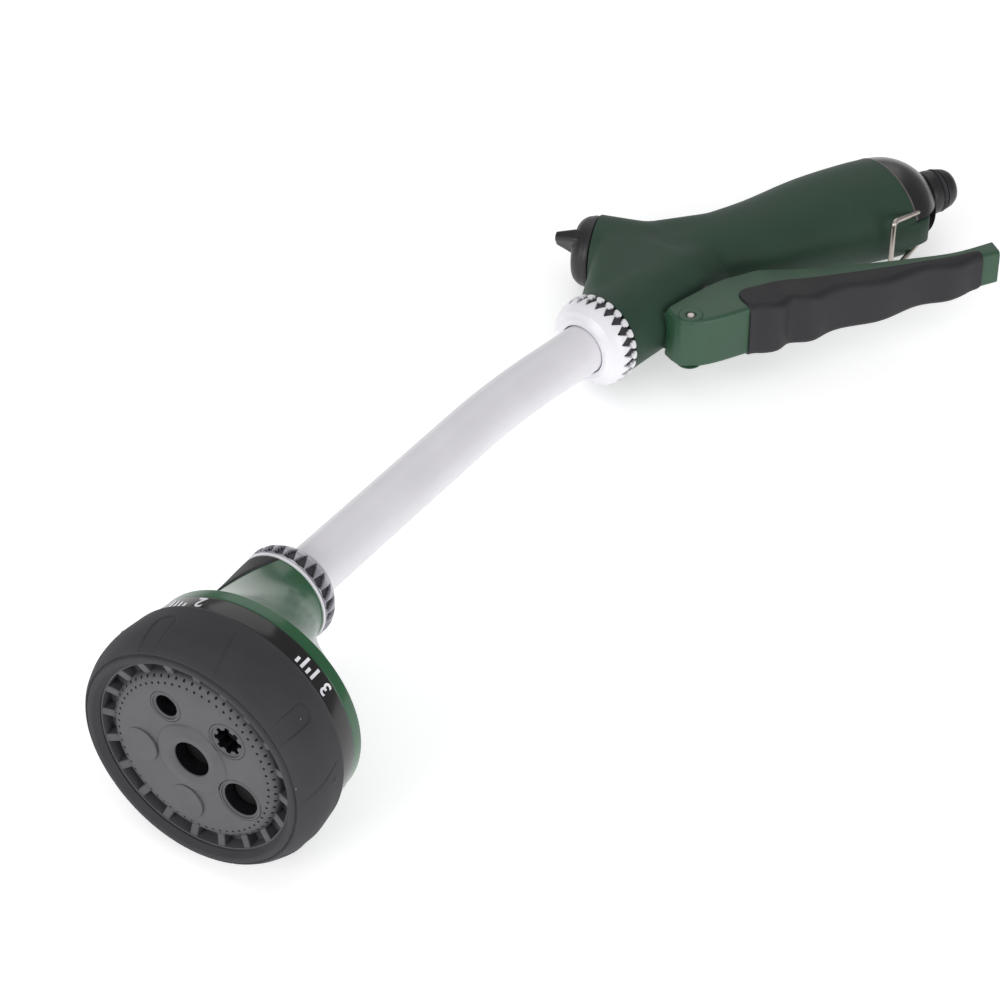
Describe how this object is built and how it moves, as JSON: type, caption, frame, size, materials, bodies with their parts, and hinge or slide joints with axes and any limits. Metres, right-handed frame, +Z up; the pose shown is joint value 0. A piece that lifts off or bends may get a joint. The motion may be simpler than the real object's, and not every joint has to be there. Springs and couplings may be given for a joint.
{
  "type": "watering wand",
  "caption": "Squeeze-lever watering wand: grip with a flow knob, latch wire and hose nipple, a bent tube, and a turning spray-pattern head.",
  "frame": {"origin": "centre of the bounding box, at the surface that the wand lies on", "axes": "+X along the wand from the hose nipple towards the spray dial; +Z up as the wand lies at rest; +Y towards the lever side"},
  "size_m": [0.421, 0.139, 0.0844],
  "materials": {
    "green_soft_touch": "soft-touch coating over moulded plastic",
    "green_abs": "moulded, semi-gloss",
    "black_rubber": "moulded elastomer, matte",
    "black_plastic": "moulded, fine texture",
    "black_gloss": "moulded, polished",
    "white_plastic": "moulded, semi-gloss",
    "silver_plastic": "moulded, silver-grey",
    "painted_aluminium": "satin powder coat",
    "steel": "drawn and turned stainless",
    "acetal": "moulded, natural colour"
  },
  "bodies": {
    "handle": {"tube": "painted_aluminium", "head_collar": "silver_plastic", "handle_collar": "white_plastic", "head_tube_seal": "black_rubber", "handle_tube_seal": "black_rubber", "head_shell": "green_abs", "head_inlay": "black_rubber", "dial_screw": "steel", "screw_washer": "steel", "outlet_seal": "black_rubber", "seal_spring": "steel", "detent_ball": "steel", "detent_spring": "steel", "head_o_ring": "black_rubber", "handle_body": "green_soft_touch", "valve_seat": "acetal", "gland_nut": "black_plastic", "stem_seal": "black_rubber", "valve_spring": "steel", "rear_cap": "black_plastic", "inlet_nipple": "black_plastic", "inlet_o_ring": "black_rubber", "inlet_washer": "black_rubber", "filter_screen": "steel", "inlet_pipe": "black_plastic", "trigger_pin": "steel"},
    "dial": {"dial_face": "black_plastic", "jet_nozzle": "black_plastic", "star_nozzle": "black_plastic", "stream_nozzle": "black_plastic", "dial_rotor": "black_plastic", "dial_grip": "black_rubber", "legend_ring": "black_gloss"},
    "flow_control": {"flow_knob": "black_plastic", "flow_spool": "acetal", "spool_o_ring": "black_rubber"},
    "lever": {"trigger": "green_abs", "trigger_grip": "black_rubber"},
    "valve": {"valve_stem": "steel", "valve_disc": "black_rubber"},
    "latch": {"latch_wire": "steel"}
  },
  "joints": [
    {"name": "dial_turn", "type": "hinge", "parent": "handle", "child": "dial", "pos_m": [0.20338, 0.02918, 0.04295], "axis": [0.9801, 0.1806, 0.0827], "continuous": true},
    {"name": "flow_knob_turn", "type": "hinge", "parent": "handle", "child": "flow_control", "pos_m": [-0.08532, -0.05613, 0.01368], "axis": [0.4415, -0.8903, -0.1115], "range_deg": [0, 90]},
    {"name": "lever_squeeze", "type": "hinge", "parent": "handle", "child": "lever", "pos_m": [-0.06501, 0.00368, 0.02398], "axis": [-0.0554, -0.1511, 0.987], "range_deg": [0, 10], "stiffness_Nm_per_rad": 4, "springref_deg": -2.86},
    {"name": "valve_push", "type": "slide", "parent": "handle", "child": "valve", "axis": [0.0042, -0.9885, -0.1511], "range_m": [0, 0.0038], "deforming": ["valve_spring"]},
    {"name": "latch_swing", "type": "hinge", "parent": "handle", "child": "latch", "pos_m": [-0.17921, 0.02216, 0.02039], "axis": [-0.0554, -0.1511, 0.987], "range_deg": [0, 92]}
  ],
  "couplings": [
    {"joint": "valve_push", "follows": "lever_squeeze", "m_per_rad": 0.0212}
  ]
}
